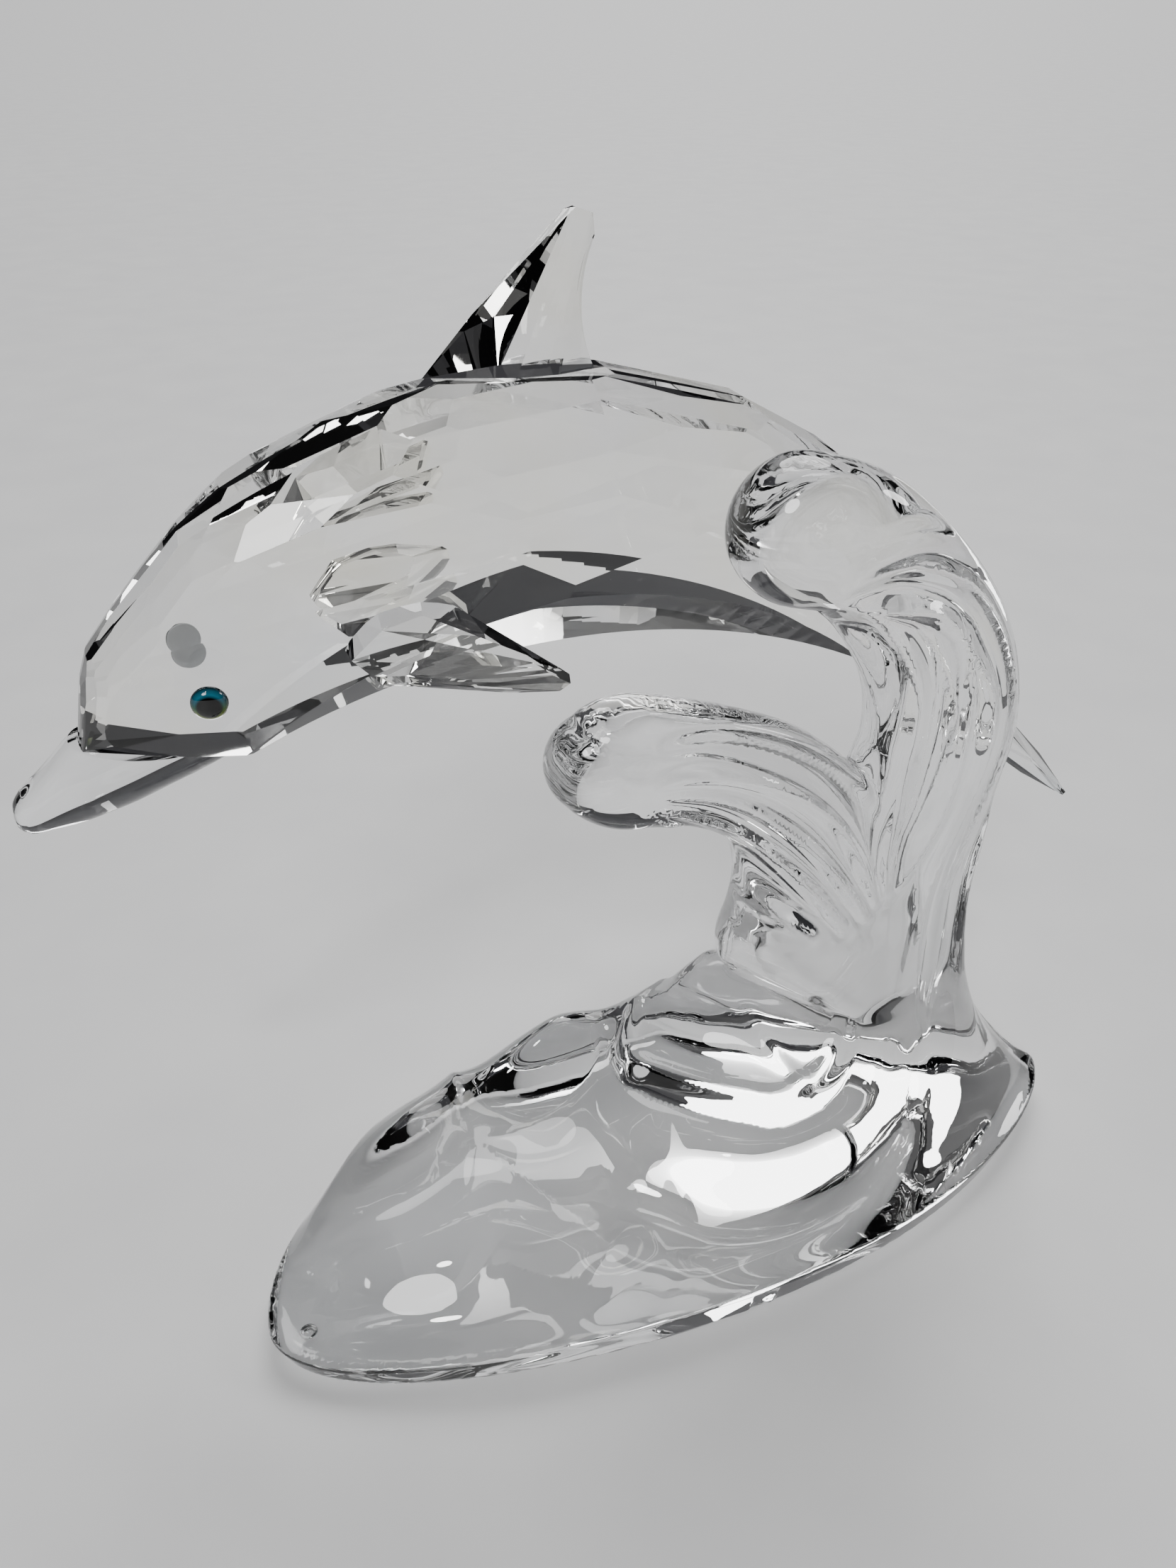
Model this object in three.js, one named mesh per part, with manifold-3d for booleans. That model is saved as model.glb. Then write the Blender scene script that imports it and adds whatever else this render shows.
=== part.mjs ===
// Crystal dolphin figurine: a faceted dolphin leaps over a cast wave with two curls on a leaf-shaped base.
// Millimetres. +X runs from the beak to the tail, +Y away from the viewer's side, +Z up.
import * as THREE from 'three';
import Module from 'manifold-3d';
import { mergeVertices } from 'three/addons/utils/BufferGeometryUtils.js';
import { ConvexGeometry } from 'three/addons/geometries/ConvexGeometry.js';

const wasm = await Module();
wasm.setup();

// Sizes of the wave and its base
const BASE_LENGTH = 124;
const BASE_DEPTH = 51;
const RIM_HEIGHT = 4.6;
const WAVE_HEIGHT = 109;
const CURL_THICKNESS = 14;
const FLUTE_DEPTH = 0.22;

// Sizes of the dolphin
const BODY_LENGTH = 122;
const BODY_WIDTH = 25;
const BEAK_LENGTH = 27;
const BEAK_WIDTH = 12;
const FIN_HEIGHT = 16.5;
const FIN_THICKNESS = 6.4;
const FLIPPER_LENGTH = 21;
const FLUKE_SPAN = 31;
const FLUKE_THICKNESS = 5.2;
const EYE_DIAMETER = 4;

// Glued joints keep this much room, so neighbours never run into each other
const GLUE_GAP = 0.3;

const WAVE_Y = 0.12 * BASE_DEPTH;
const FLANK_Y = WAVE_Y + CURL_THICKNESS / 2;
const MID_Y = FLANK_Y + BODY_WIDTH / 2;

const clear = { color: 0xf2f6f8, roughness: 0.04, metalness: 0, transparent: true, opacity: 0.55 };
const bead = { color: 0x1d5560, roughness: 0.06, metalness: 0 };

const clamp = (v, lo, hi) => Math.min(hi, Math.max(lo, v));
const mix = (a, b, t) => a + (b - a) * t;
const smooth = (a, b, v) => {
  const t = clamp((v - a) / (b - a), 0, 1);
  return t * t * (3 - 2 * t);
};

// Turns a closed three.js geometry into a solid that can be joined and cut
function solidOf(source) {
  const g = source.clone();
  g.deleteAttribute('normal');
  g.deleteAttribute('uv');
  const m = mergeVertices(g, 1e-4);
  const corners = Array.from(m.index.array);
  const points = m.attributes.position;
  const corner = (i) => new THREE.Vector3().fromBufferAttribute(points, corners[i]);
  let volume = 0;
  for (let i = 0; i < corners.length; i += 3) {
    volume += corner(i).dot(corner(i + 1).cross(corner(i + 2)));
  }
  if (volume < 0) corners.reverse();
  const mesh = new wasm.Mesh({
    numProp: 3,
    vertProperties: new Float32Array(points.array),
    triVerts: new Uint32Array(corners),
  });
  return new wasm.Manifold(mesh);
}

function named(name, solid, look) {
  const mesh = solid.getMesh();
  const g = new THREE.BufferGeometry();
  g.setAttribute('position', new THREE.BufferAttribute(new Float32Array(mesh.vertProperties), 3));
  g.setIndex(new THREE.BufferAttribute(new Uint32Array(mesh.triVerts), 1));
  g.computeVertexNormals();
  const node = new THREE.Mesh(g, new THREE.MeshStandardMaterial({ ...look, flatShading: true }));
  node.name = name;
  return node;
}

// Keeps the side of a solid where normal . point is under the given reach
function keepBelow(solid, normal, reach) {
  return solid.trimByPlane([-normal.x, -normal.y, -normal.z], -reach);
}

// Joins rings of equal count into one closed skin, its ends closed with a fan
function skin(rings) {
  const n = rings[0].length;
  const last = rings.length - 1;
  const middle = (ring) => ring.reduce((sum, p) => sum.add(p), new THREE.Vector3()).divideScalar(n);
  const points = [...rings.flat(), middle(rings[0]), middle(rings[last])];
  const index = [];
  for (let i = 0; i < last; i += 1) {
    for (let j = 0; j < n; j += 1) {
      const a = i * n + j;
      const b = i * n + ((j + 1) % n);
      index.push(a, b, b + n, a, b + n, a + n);
    }
  }
  for (let j = 0; j < n; j += 1) {
    const k = (j + 1) % n;
    index.push(points.length - 2, k, j);
    index.push(points.length - 1, last * n + j, last * n + k);
  }
  const g = new THREE.BufferGeometry().setFromPoints(points);
  g.setIndex(index);
  return g;
}

// Wave: each lobe is a fluted ellipse carried along a curve in the wave's upright plane.
// Stations: along, up and half breadth as shares of the wave's height, half thickness as a share
// of the curl's thickness.
const UPPER_CURL = [
  [0.300, 0.015, 0.150, 0.60],
  [0.290, 0.200, 0.128, 0.52],
  [0.278, 0.385, 0.114, 0.46],
  [0.290, 0.532, 0.112, 0.45],
  [0.311, 0.640, 0.103, 0.45],
  [0.290, 0.738, 0.092, 0.45],
  [0.232, 0.828, 0.082, 0.46],
  [0.155, 0.897, 0.078, 0.49],
  [0.084, 0.920, 0.078, 0.50],
  [0.036, 0.924, 0.060, 0.41],
  [0.014, 0.925, 0.015, 0.11],
];
const LOWER_CURL = [
  [0.150, 0.015, 0.160, 0.60],
  [0.148, 0.200, 0.145, 0.52],
  [0.160, 0.350, 0.120, 0.46],
  [0.160, 0.490, 0.105, 0.44],
  [0.100, 0.598, 0.078, 0.42],
  [0.008, 0.654, 0.071, 0.43],
  [-0.085, 0.680, 0.076, 0.44],
  [-0.145, 0.690, 0.058, 0.35],
  [-0.180, 0.692, 0.014, 0.10],
];

function lobe(stations, along, around, flutes, fade) {
  const path = new THREE.CatmullRomCurve3(stations.map((s) => new THREE.Vector3(s[0], s[1], 0)));
  const girth = new THREE.CatmullRomCurve3(stations.map((s) => new THREE.Vector3(s[2], s[3], 0)));
  const rings = [];
  for (let i = 0; i <= along; i += 1) {
    const t = i / along;
    const centre = path.getPoint(t);
    const run = path.getTangent(t);
    const size = girth.getPoint(t);
    const depth = FLUTE_DEPTH * fade(t);
    const ring = [];
    for (let j = 0; j < around; j += 1) {
      const a = (j / around) * Math.PI * 2;
      const w = Math.sign(Math.cos(a)) * Math.abs(Math.cos(a)) ** 0.85;
      const groove = depth * Math.abs(Math.sin(flutes * Math.PI * (w + 1) * 0.5));
      const across = size.x * w;
      const thick = Math.sign(Math.sin(a)) * Math.abs(Math.sin(a)) ** 0.85 * (1 - groove);
      ring.push(new THREE.Vector3(
        (centre.x - run.y * across) * WAVE_HEIGHT,
        WAVE_Y + thick * size.y * CURL_THICKNESS,
        (centre.y + run.x * across) * WAVE_HEIGHT,
      ));
    }
    rings.push(ring);
  }
  return skin(rings);
}

const upperFade = (t) => smooth(0.12, 0.3, t) * (1 - smooth(0.6, 0.78, t));
const lowerFade = (t) => smooth(0.18, 0.35, t) * (1 - smooth(0.6, 0.8, t));

// Base: leaf outline from four quarter ovals about a turned long axis, more pointed at the right end
const HALF = BASE_LENGTH / 2;
const MIDDLE_X = -0.005 * BASE_LENGTH;
const FRONT_Y = -0.4 * BASE_DEPTH;
const BACK_Y = 0.6 * BASE_DEPTH;
const LEFT_TIP_Y = -0.05 * BASE_DEPTH;
const RIGHT_TIP_Y = 0.06 * BASE_DEPTH;

function bowPower(u, front) {
  if (u < 0) return 0.5;
  return front ? 0.65 : 0.85;
}

function rimAt(u) {
  const tip = u < 0 ? LEFT_TIP_Y : RIGHT_TIP_Y;
  const bow = Math.max(0, 1 - u * u);
  return {
    front: mix(tip, FRONT_Y, bow ** bowPower(u, true)),
    back: mix(tip, BACK_Y, bow ** bowPower(u, false)),
  };
}

// 0 in the middle of the base and 1 on its rim
function leafShare(x, y) {
  const u = (x - MIDDLE_X) / HALF;
  const tip = u < 0 ? LEFT_TIP_Y : RIGHT_TIP_Y;
  const front = y < tip;
  const bow = Math.abs((y - tip) / ((front ? FRONT_Y : BACK_Y) - tip));
  return Math.sqrt(u * u + bow ** (1 / bowPower(u, front)));
}

function rimHeight(u) {
  return RIM_HEIGHT * mix(0.75, 1, smooth(-1, -0.4, u));
}

// Crest lines on the base in shares of half length, depth and wave height. Between them and the rim
// the top runs on like a stretched skin. A round line has no crease: its half breadth is a share of
// the depth.
const CREST_LINES = [
  { round: 0, points: [[-0.84, 0.17, 0.068], [-0.75, 0.13, 0.083], [-0.66, 0.1, 0.101],
    [-0.56, 0.12, 0.115], [-0.47, 0.19, 0.123]] },
  { round: 0, points: [[-0.47, 0.19, 0.123], [-0.49, 0.27, 0.13], [-0.48, 0.41, 0.133],
    [-0.47, 0.51, 0.083]] },
  { round: 0, points: [[-0.47, 0.19, 0.123], [-0.41, 0.07, 0.108], [-0.35, -0.01, 0.092],
    [-0.3, -0.1, 0.075], [-0.26, -0.17, 0.062]] },
  { round: 0, points: [[-0.47, 0.19, 0.123], [-0.34, 0.2, 0.11], [-0.22, 0.26, 0.114],
    [-0.15, 0.32, 0.123], [-0.11, 0.39, 0.138]] },
  { round: 0, points: [[0.53, 0.02, 0.235], [0.53, -0.03, 0.215], [0.52, -0.06, 0.174],
    [0.49, -0.13, 0.133], [0.43, -0.21, 0.101], [0.32, -0.29, 0.078], [0.18, -0.32, 0.064],
    [0.02, -0.31, 0.057], [-0.06, -0.28, 0.053]] },
  { round: 0, points: [[0.66, 0.12, 0.33], [0.72, 0.11, 0.255], [0.79, 0.1, 0.174],
    [0.86, 0.09, 0.115], [0.94, 0.075, 0.066], [0.985, 0.065, 0.045]] },
  { round: 0.049, points: [[-0.12, 0.43, 0.142], [-0.12, 0.3, 0.145], [-0.07, 0.16, 0.145],
    [0, 0.05, 0.143], [0.08, -0.05, 0.142], [0.16, -0.09, 0.141], [0.26, -0.11, 0.145],
    [0.35, -0.09, 0.152], [0.43, -0.06, 0.17], [0.49, -0.01, 0.206], [0.5, 0.04, 0.229]] },
];
const SKIN_REACH = 0.137 * BASE_DEPTH;

function crestLine({ round, points }) {
  const spots = points.map(([x, y, z]) => new THREE.Vector3(
    MIDDLE_X + x * HALF,
    y * BASE_DEPTH,
    z * WAVE_HEIGHT,
  ));
  return { pull: 1, round: round * BASE_DEPTH, line: new THREE.CatmullRomCurve3(spots).getPoints(30) };
}

function rimLine() {
  const line = [];
  for (let k = 0; k <= 120; k += 1) {
    const turn = (k / 120) * Math.PI * 2;
    const u = Math.cos(turn);
    const rim = rimAt(u);
    const y = Math.sin(turn) < 0 ? rim.front : rim.back;
    line.push(new THREE.Vector3(MIDDLE_X + u * HALF, y, rimHeight(u)));
  }
  return { pull: 0.8, round: 0, line };
}

const skinLines = [rimLine(), ...CREST_LINES.map(crestLine)];

// Distance in plan to a line and the height of its nearest point
function nearestOn(line, x, y) {
  let away = Infinity;
  let height = 0;
  for (let i = 0; i + 1 < line.length; i += 1) {
    const a = line[i];
    const b = line[i + 1];
    const dx = b.x - a.x;
    const dy = b.y - a.y;
    const t = clamp(((x - a.x) * dx + (y - a.y) * dy) / (dx * dx + dy * dy), 0, 1);
    const gap = Math.hypot(x - a.x - dx * t, y - a.y - dy * t);
    if (gap < away) {
      away = gap;
      height = mix(a.z, b.z, t);
    }
  }
  return { away, height };
}

function skinHeight(x, y) {
  let total = 0;
  let weight = 0;
  for (const { pull, round, line } of skinLines) {
    const { away, height } = nearestOn(line, x, y);
    const soft = Math.hypot(away, round, 0.002 * BASE_DEPTH);
    const share = pull / (soft * (1 + (away / SKIN_REACH) ** 2));
    total += share * height;
    weight += share;
  }
  return total / weight;
}

// Petal: a low lip in front, pointed to the back left, and a scoop that rises to the trunk's foot
const lip = { foot: 1.13, back: 1.7 };
const PETAL_X = MIDDLE_X + 0.21 * HALF;
const PETAL_Y = 0.26 * BASE_DEPTH;

function petalShare(x, y) {
  const dx = (x - PETAL_X) / ((x < PETAL_X ? 0.29 : 0.25) * HALF);
  const dy = (y - PETAL_Y) / ((y < PETAL_Y ? 0.305 : 0.2) * BASE_DEPTH);
  const power = 2.2 - 0.8 * smooth(-0.1, 0.3, -dx) * smooth(-0.1, 0.3, -dy);
  return (Math.abs(dx) ** power + Math.abs(dy) ** power) ** (1 / power);
}

// Height of the band where the petal runs into the trunk, against the way along the band
const BAND = [
  [-0.431, 0.188], [-0.304, 0.195], [-0.176, 0.218], [-0.094, 0.259], [-0.031, 0.29],
  [0.059, 0.286], [0.235, 0.246], [0.373, 0.22], [0.549, 0.206], [0.784, 0.202],
];
const bandCurve = new THREE.CatmullRomCurve3(BAND.map((b) => new THREE.Vector3(b[0], b[1], 0)))
  .getPoints(60);

function bandHeight(along) {
  const next = clamp(bandCurve.findIndex((p) => p.x > along), 1, bandCurve.length - 1);
  const a = bandCurve[next - 1];
  const b = bandCurve[next];
  return mix(a.y, b.y, clamp((along - a.x) / (b.x - a.x), 0, 1));
}

function petalDish(x, y) {
  const u = (x - MIDDLE_X) / HALF;
  const v = y / BASE_DEPTH;
  const across = 0.68 * u + 0.829 * v - 0.301;
  const rise = Math.exp(Math.min(0, across) / 0.07);
  const fall = smooth(0.02, 0.31, across);
  const peak = 0.015 * Math.exp(-(((u + 0.064) / 0.056) ** 2) - ((v - 0.341) / 0.068) ** 2);
  const scoop = 0.17 + (bandHeight(1.008 * u - 0.559 * v - 0.01) - 0.17) * rise;
  return (mix(scoop, 0.12, fall) + peak) * WAVE_HEIGHT;
}

// Rounded humps behind the crests: middle, half lengths and turn on the base, and rise
const HUMPS = [
  { x: -0.675, y: 0.343, rx: 0.177, ry: 0.127, turn: 0.41, rise: 0.064 },
  { x: -0.272, y: 0.431, rx: 0.185, ry: 0.122, turn: 0.02, rise: 0.083 },
];

function humpRise(x, y) {
  let total = 0;
  for (const h of HUMPS) {
    const dx = x - MIDDLE_X - h.x * HALF;
    const dy = y - h.y * BASE_DEPTH;
    const p = (dx * Math.cos(h.turn) + dy * Math.sin(h.turn)) / (h.rx * HALF);
    const q = (dy * Math.cos(h.turn) - dx * Math.sin(h.turn)) / (h.ry * BASE_DEPTH);
    total += h.rise * WAVE_HEIGHT * Math.exp(-p * p - q * q);
  }
  return total * (1 - smooth(0.93, 1, leafShare(x, y)));
}

function baseHeight(x, y) {
  const foot = mix(lip.foot, lip.back, smooth(0.34, 0.44, y / BASE_DEPTH));
  const step = smooth(foot, 0.99, petalShare(x, y));
  const rim = rimHeight(clamp((x - MIDDLE_X) / HALF, -1, 1));
  return mix(Math.max(rim, skinHeight(x, y)) + humpRise(x, y), petalDish(x, y), step);
}

// The base is laid out in rings about the petal: out to its lip, down the lip and on to the rim
const BASE_SPOKES = 76;
const PETAL_RINGS = [0.3, 0.55, 0.78, 0.93, 1.0, 1.06, lip.foot];
const OUTER_RINGS = 12;

function leafBase() {
  const rings = [];
  for (let i = 0; i < PETAL_RINGS.length + OUTER_RINGS + 1; i += 1) rings.push([]);
  for (let k = 0; k < BASE_SPOKES; k += 1) {
    const turn = (k / BASE_SPOKES) * Math.PI * 2;
    const u = Math.cos(turn);
    const rim = rimAt(u);
    const x = MIDDLE_X + u * HALF;
    const y = Math.sin(turn) < 0 ? rim.front : rim.back;
    const out = 1 / petalShare(x, y);
    const outer = (i) => mix(lip.foot * out, 1, i / OUTER_RINGS);
    const shares = PETAL_RINGS.map((r) => r * out);
    for (let i = 1; i <= OUTER_RINGS; i += 1) shares.push(outer(i));
    shares.forEach((share, i) => {
      const px = mix(PETAL_X, x, share);
      const py = mix(PETAL_Y, y, share);
      rings[i].push(new THREE.Vector3(px, py, share < 1 ? baseHeight(px, py) : rimHeight(u)));
    });
    const foot = { x: MIDDLE_X + u * HALF * 0.975, y: y * 0.965 + 0.003 * BASE_DEPTH };
    rings[shares.length].push(new THREE.Vector3(foot.x, foot.y, 0));
  }
  const g = skin(rings);
  const heart = g.attributes.position.count - 2;
  g.attributes.position.setXYZ(heart, PETAL_X, PETAL_Y, baseHeight(PETAL_X, PETAL_Y));
  return g;
}

// The near side of the trunk's foot is cut back in a slant, so that the petal shows in front of it
const FOOT_TURN = new THREE.Vector3(0.575, 0.61, 0.545).normalize();
const FOOT_SPOT = new THREE.Vector3(0.25 * HALF, 0.22 * BASE_DEPTH, 0.24 * WAVE_HEIGHT);

function buildWave() {
  const upper = solidOf(lobe(UPPER_CURL, 32, 42, 5, upperFade));
  const lower = solidOf(lobe(LOWER_CURL, 24, 38, 4, lowerFade));
  const curls = keepBelow(upper.add(lower), new THREE.Vector3(0, 1, 0), FLANK_Y - GLUE_GAP);
  const above = keepBelow(curls, FOOT_TURN.clone().negate(), -FOOT_SPOT.dot(FOOT_TURN))
    .trimByPlane([0, 0, 1], RIM_HEIGHT);
  return solidOf(leafBase()).add(above);
}

// Dolphin: a bent reference form with an elliptical section; flat facets touch it from outside.
// Stations are shares of the body's length about the crossing with the wave: along, up, half depth,
// and the half width as a share of the body's.
const CROSS_X = 0.257 * WAVE_HEIGHT;
const CROSS_Z = 0.789 * WAVE_HEIGHT;
const SPINE = [
  [-0.783, -0.053, 0.012, 0.34],
  [-0.738, -0.024, 0.059, 0.66],
  [-0.676, 0.008, 0.088, 0.88],
  [-0.582, 0.050, 0.124, 1.00],
  [-0.443, 0.090, 0.137, 1.04],
  [-0.295, 0.099, 0.131, 1.03],
  [-0.164, 0.080, 0.115, 0.97],
  [-0.065, 0.033, 0.100, 0.86],
  [0.041, -0.041, 0.077, 0.66],
  [0.131, -0.127, 0.055, 0.48],
  [0.205, -0.208, 0.036, 0.34],
];
const spinePath = new THREE.CatmullRomCurve3(SPINE.map((s) => new THREE.Vector3(s[0], 0, s[1])));
const spineGirth = new THREE.CatmullRomCurve3(SPINE.map((s) => new THREE.Vector3(s[2], s[3], 0)));

function onBody(s, angle) {
  const c = spinePath.getPoint(clamp(s, 0, 1));
  const run = spinePath.getTangent(clamp(s, 0, 1));
  const girth = spineGirth.getPoint(clamp(s, 0, 1));
  const lift = girth.x * Math.sin(angle);
  return new THREE.Vector3(
    CROSS_X + (c.x - run.z * lift) * BODY_LENGTH,
    MID_Y - girth.y * Math.cos(angle) * BODY_WIDTH * 0.5,
    CROSS_Z + (c.z + run.x * lift) * BODY_LENGTH,
  );
}

const bodySamples = [];
for (let i = 0; i <= 60; i += 1) {
  for (let j = 0; j < 48; j += 1) {
    bodySamples.push(onBody(i / 60, (j / 48) * Math.PI * 2));
  }
}
const reachAlong = (normal) => Math.max(...bodySamples.map((p) => p.dot(normal)));

function facetNormal(s, angle) {
  const step = 0.004;
  const a = clamp(s, step, 1 - step);
  const along = onBody(a + step, angle).sub(onBody(a - step, angle));
  const round = onBody(a, angle + step).sub(onBody(a, angle - step));
  return along.cross(round).normalize();
}

const toRadians = (deg) => (deg * Math.PI) / 180;

// Facet rows: height angle on the section, then the stations along the body
const FACET_ROWS = [
  { angle: -20, at: [0.05, 0.11, 0.17, 0.24] },
  { angle: 0, at: [0.03, 0.08, 0.14, 0.21, 0.72, 0.84, 0.95] },
  { angle: 11, at: [0.04, 0.08, 0.12, 0.165, 0.215, 0.27] },
  { angle: 22, at: [0.025, 0.06, 0.1, 0.14, 0.19, 0.24, 0.31, 0.42, 0.57, 0.71, 0.83] },
  { angle: 33, at: [0.04, 0.08, 0.12, 0.165, 0.215, 0.27, 0.36, 0.77, 0.89] },
  { angle: 44, at: [0.025, 0.06, 0.1, 0.14, 0.19, 0.24, 0.31, 0.42, 0.57, 0.71, 0.83] },
  { angle: 55, at: [0.04, 0.08, 0.12, 0.165, 0.215, 0.27, 0.36, 0.64, 0.77, 0.89] },
  { angle: 66, at: [0.025, 0.06, 0.1, 0.14, 0.19, 0.24, 0.3, 0.42, 0.57, 0.71, 0.83] },
  { angle: 78, at: [0.04, 0.08, 0.12, 0.165, 0.215, 0.27, 0.36, 0.64, 0.77, 0.89] },
  { angle: 90, at: [0.02, 0.05, 0.08, 0.115, 0.15, 0.19, 0.23, 0.275, 0.325, 0.385] },
  { angle: 90, at: [0.56, 0.63, 0.71, 0.79, 0.87, 0.95] },
];

// Broad flank facets that turn under the girdle: a point on the flank and the lean of the normal
const FLANK_FACETS = [
  { at: [-0.403, 0.102], lean: [-0.12, 0.03] },
  { at: [-0.339, 0.067], lean: [-0.085, -0.155] },
  { at: [-0.339, 0.067], lean: [0.05, -0.2] },
  { at: [-0.17, 0.045], lean: [0.16, -0.12] },
];

const HEAD_SEAT = new THREE.Vector3(-Math.sin(toRadians(8)), 0, -Math.cos(toRadians(8)));
const headFront = onBody(0.02, 0);
const headReach = new THREE.Vector3(headFront.x, 0, headFront.z - 0.012 * BODY_LENGTH).dot(HEAD_SEAT);
const along = { fin: 0.465, eye: 0.202 };
const BACK_SEAT = facetNormal(along.fin, Math.PI / 2);
const backReach = reachAlong(BACK_SEAT);
const TAIL_SEAT = new THREE.Vector3(Math.SQRT1_2, 0, -Math.SQRT1_2);
const tailEnd = onBody(0.985, 0);
const tailReach = new THREE.Vector3(tailEnd.x, 0, tailEnd.z).dot(TAIL_SEAT);

// Belly wheel: one large grinding wheel hollows the underside and rises towards both flanks
const BELLY_RADIUS = 0.752 * BODY_LENGTH;
const BELLY_X = CROSS_X - 0.335 * BODY_LENGTH;
const BELLY_Z = CROSS_Z - 0.764 * BODY_LENGTH;
const BELLY_FLAT = 0.25 * BODY_WIDTH;
const belly = { rise: 1.35 };
const bellyAt = (away) => BELLY_RADIUS + belly.rise * Math.max(0, away - BELLY_FLAT);

function bellyWheel() {
  const half = BODY_WIDTH;
  const rim = bellyAt(half);
  const profile = [
    [0, -half], [rim, -half], [BELLY_RADIUS, -BELLY_FLAT],
    [BELLY_RADIUS, BELLY_FLAT], [rim, half], [0, half],
  ].map(([r, y]) => new THREE.Vector2(r, y));
  const g = new THREE.LatheGeometry(profile, 220);
  g.translate(BELLY_X, MID_Y, BELLY_Z);
  return g;
}

function buildBody() {
  const size = BODY_LENGTH * 1.6;
  const block = new THREE.BoxGeometry(size, BODY_WIDTH, size);
  block.translate(CROSS_X - 0.3 * BODY_LENGTH, MID_Y, CROSS_Z);
  let body = solidOf(block);
  for (const row of FACET_ROWS) {
    for (const s of row.at) {
      const n = facetNormal(s, toRadians(row.angle));
      const reach = reachAlong(n);
      body = keepBelow(body, n, reach);
      if (row.angle < 90) {
        const mirrored = new THREE.Vector3(n.x, -n.y, n.z);
        body = keepBelow(body, mirrored, reach - 2 * n.y * MID_Y);
      }
    }
  }
  for (const facet of FLANK_FACETS) {
    const spot = new THREE.Vector3(
      CROSS_X + facet.at[0] * BODY_LENGTH,
      FLANK_Y,
      CROSS_Z + facet.at[1] * BODY_LENGTH,
    );
    const n = new THREE.Vector3(facet.lean[0], -1, facet.lean[1]).normalize();
    body = keepBelow(body, n, spot.dot(n));
    const mirrored = new THREE.Vector3(n.x, -n.y, n.z);
    body = keepBelow(body, mirrored, spot.dot(n) - 2 * n.y * MID_Y);
  }
  body = keepBelow(body, BACK_SEAT, backReach);
  body = keepBelow(body, HEAD_SEAT, headReach);
  body = keepBelow(body, TAIL_SEAT, tailReach);
  return body.subtract(solidOf(bellyWheel()));
}

// Beak: one smooth moulded drop under the flat of the head
const BEAK = [
  [0.000, 0.000, 0.00, 0.00],
  [0.010, 0.004, 0.18, 0.060],
  [0.055, 0.018, 0.38, 0.108],
  [0.150, 0.060, 0.56, 0.140],
  [0.320, 0.150, 0.86, 0.200],
  [0.540, 0.235, 1.00, 0.220],
  [0.760, 0.290, 0.94, 0.200],
  [0.920, 0.310, 0.80, 0.160],
  [1.000, 0.320, 0.55, 0.110],
];

function buildBeak() {
  const tip = new THREE.Vector3(headFront.x - 0.41 * BEAK_LENGTH, 0, headFront.z - 0.37 * BEAK_LENGTH);
  const path = new THREE.CatmullRomCurve3(BEAK.map((s) => new THREE.Vector3(s[0], 0, s[1])));
  const girth = new THREE.CatmullRomCurve3(BEAK.map((s) => new THREE.Vector3(s[2], s[3], 0)));
  const rings = [];
  const along = 14;
  const around = 20;
  for (let i = 0; i <= along; i += 1) {
    const t = mix(0.03, 1, i / along);
    const c = path.getPoint(t);
    const size = girth.getPoint(t);
    const ring = [];
    for (let j = 0; j < around; j += 1) {
      const a = (j / around) * Math.PI * 2;
      ring.push(new THREE.Vector3(
        tip.x + c.x * BEAK_LENGTH,
        MID_Y - Math.cos(a) * size.x * BEAK_WIDTH * 0.5,
        tip.z + (c.z + Math.sin(a) * size.y) * BEAK_LENGTH,
      ));
    }
    rings.push(ring);
  }
  return keepBelow(solidOf(skin(rings)), HEAD_SEAT.clone().negate(), -headReach - GLUE_GAP);
}

// A cut crystal piece: the hull of a few points
const hull = (points) => solidOf(new ConvexGeometry(points.map((p) => new THREE.Vector3(...p))));

// Dorsal fin: upright blade with three facets a side and a hollow ground trailing edge
function buildFin() {
  const h = FIN_HEIGHT;
  const t = FIN_THICKNESS / 2;
  const foot = onBody(along.fin, Math.PI / 2);
  const x = foot.x;
  const z = foot.z - 0.1 * h;
  const blade = [
    [x - 0.82 * h, MID_Y, z], [x - 0.41 * h, MID_Y, z + 0.36 * h], [x - 0.34 * h, MID_Y, z + 0.5 * h],
    [x + 0.29 * h, MID_Y, z + 1.09 * h],
    [x - 0.16 * h, MID_Y + t, z], [x - 0.16 * h, MID_Y - t, z],
    [x + 0.16 * h, MID_Y + t, z], [x + 0.16 * h, MID_Y - t, z],
    [x + 0.36 * h, MID_Y + 0.16 * t, z + 1.1 * h], [x + 0.36 * h, MID_Y - 0.16 * t, z + 1.1 * h],
    [x + 0.48 * h, MID_Y + 0.14 * t, z + 1.06 * h], [x + 0.48 * h, MID_Y - 0.14 * t, z + 1.06 * h],
    [x + 0.56 * h, MID_Y + 0.3 * t, z], [x + 0.56 * h, MID_Y - 0.3 * t, z],
  ];
  const wheel = new THREE.CylinderGeometry(0.86 * h, 0.86 * h, 3 * t, 64);
  wheel.translate(x + 1.235 * h, MID_Y, z + 0.5 * h);
  return keepBelow(hull(blade).subtract(solidOf(wheel)), BACK_SEAT.clone().negate(), -backReach - GLUE_GAP);
}

// Flippers: root on the lower flank, swept out and back; the other one is its mirror
const FLIPPER_SEAT = new THREE.Vector3(-0.15, -0.79, -0.6).normalize();

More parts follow.
